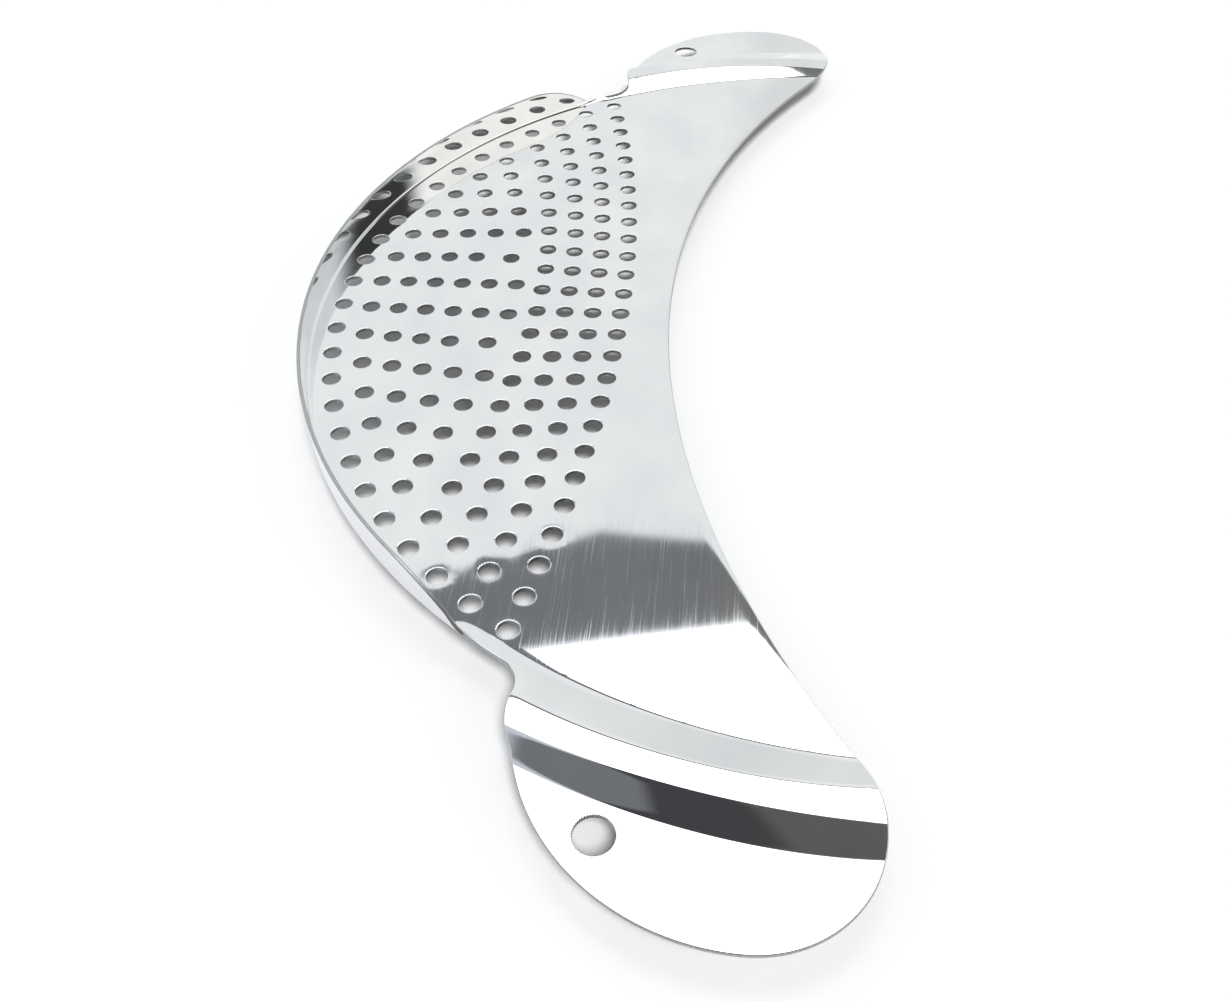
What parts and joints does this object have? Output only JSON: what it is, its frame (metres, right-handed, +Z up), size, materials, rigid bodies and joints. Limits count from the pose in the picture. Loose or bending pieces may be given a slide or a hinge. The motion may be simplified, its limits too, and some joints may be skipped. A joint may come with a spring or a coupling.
{
  "type": "crescent pot strainer",
  "caption": "Crescent-shaped stamped steel pot strainer with a perforated plate, a curved rim wall and an ear handle with a hang hole at each end.",
  "frame": {"origin": "middle of the bounding box, on the underside of the plate", "axes": "+X along the length from ear to ear, +Y towards the rim wall, +Z up out of the plate on the wall's side"},
  "size_m": [0.3148, 0.1264, 0.0083],
  "materials": {
    "polished_steel": "bright polished stainless sheet with fine rolling lines along its length"
  },
  "bodies": {
    "root": {"strainer_plate": "polished_steel"}
  },
  "joints": []
}
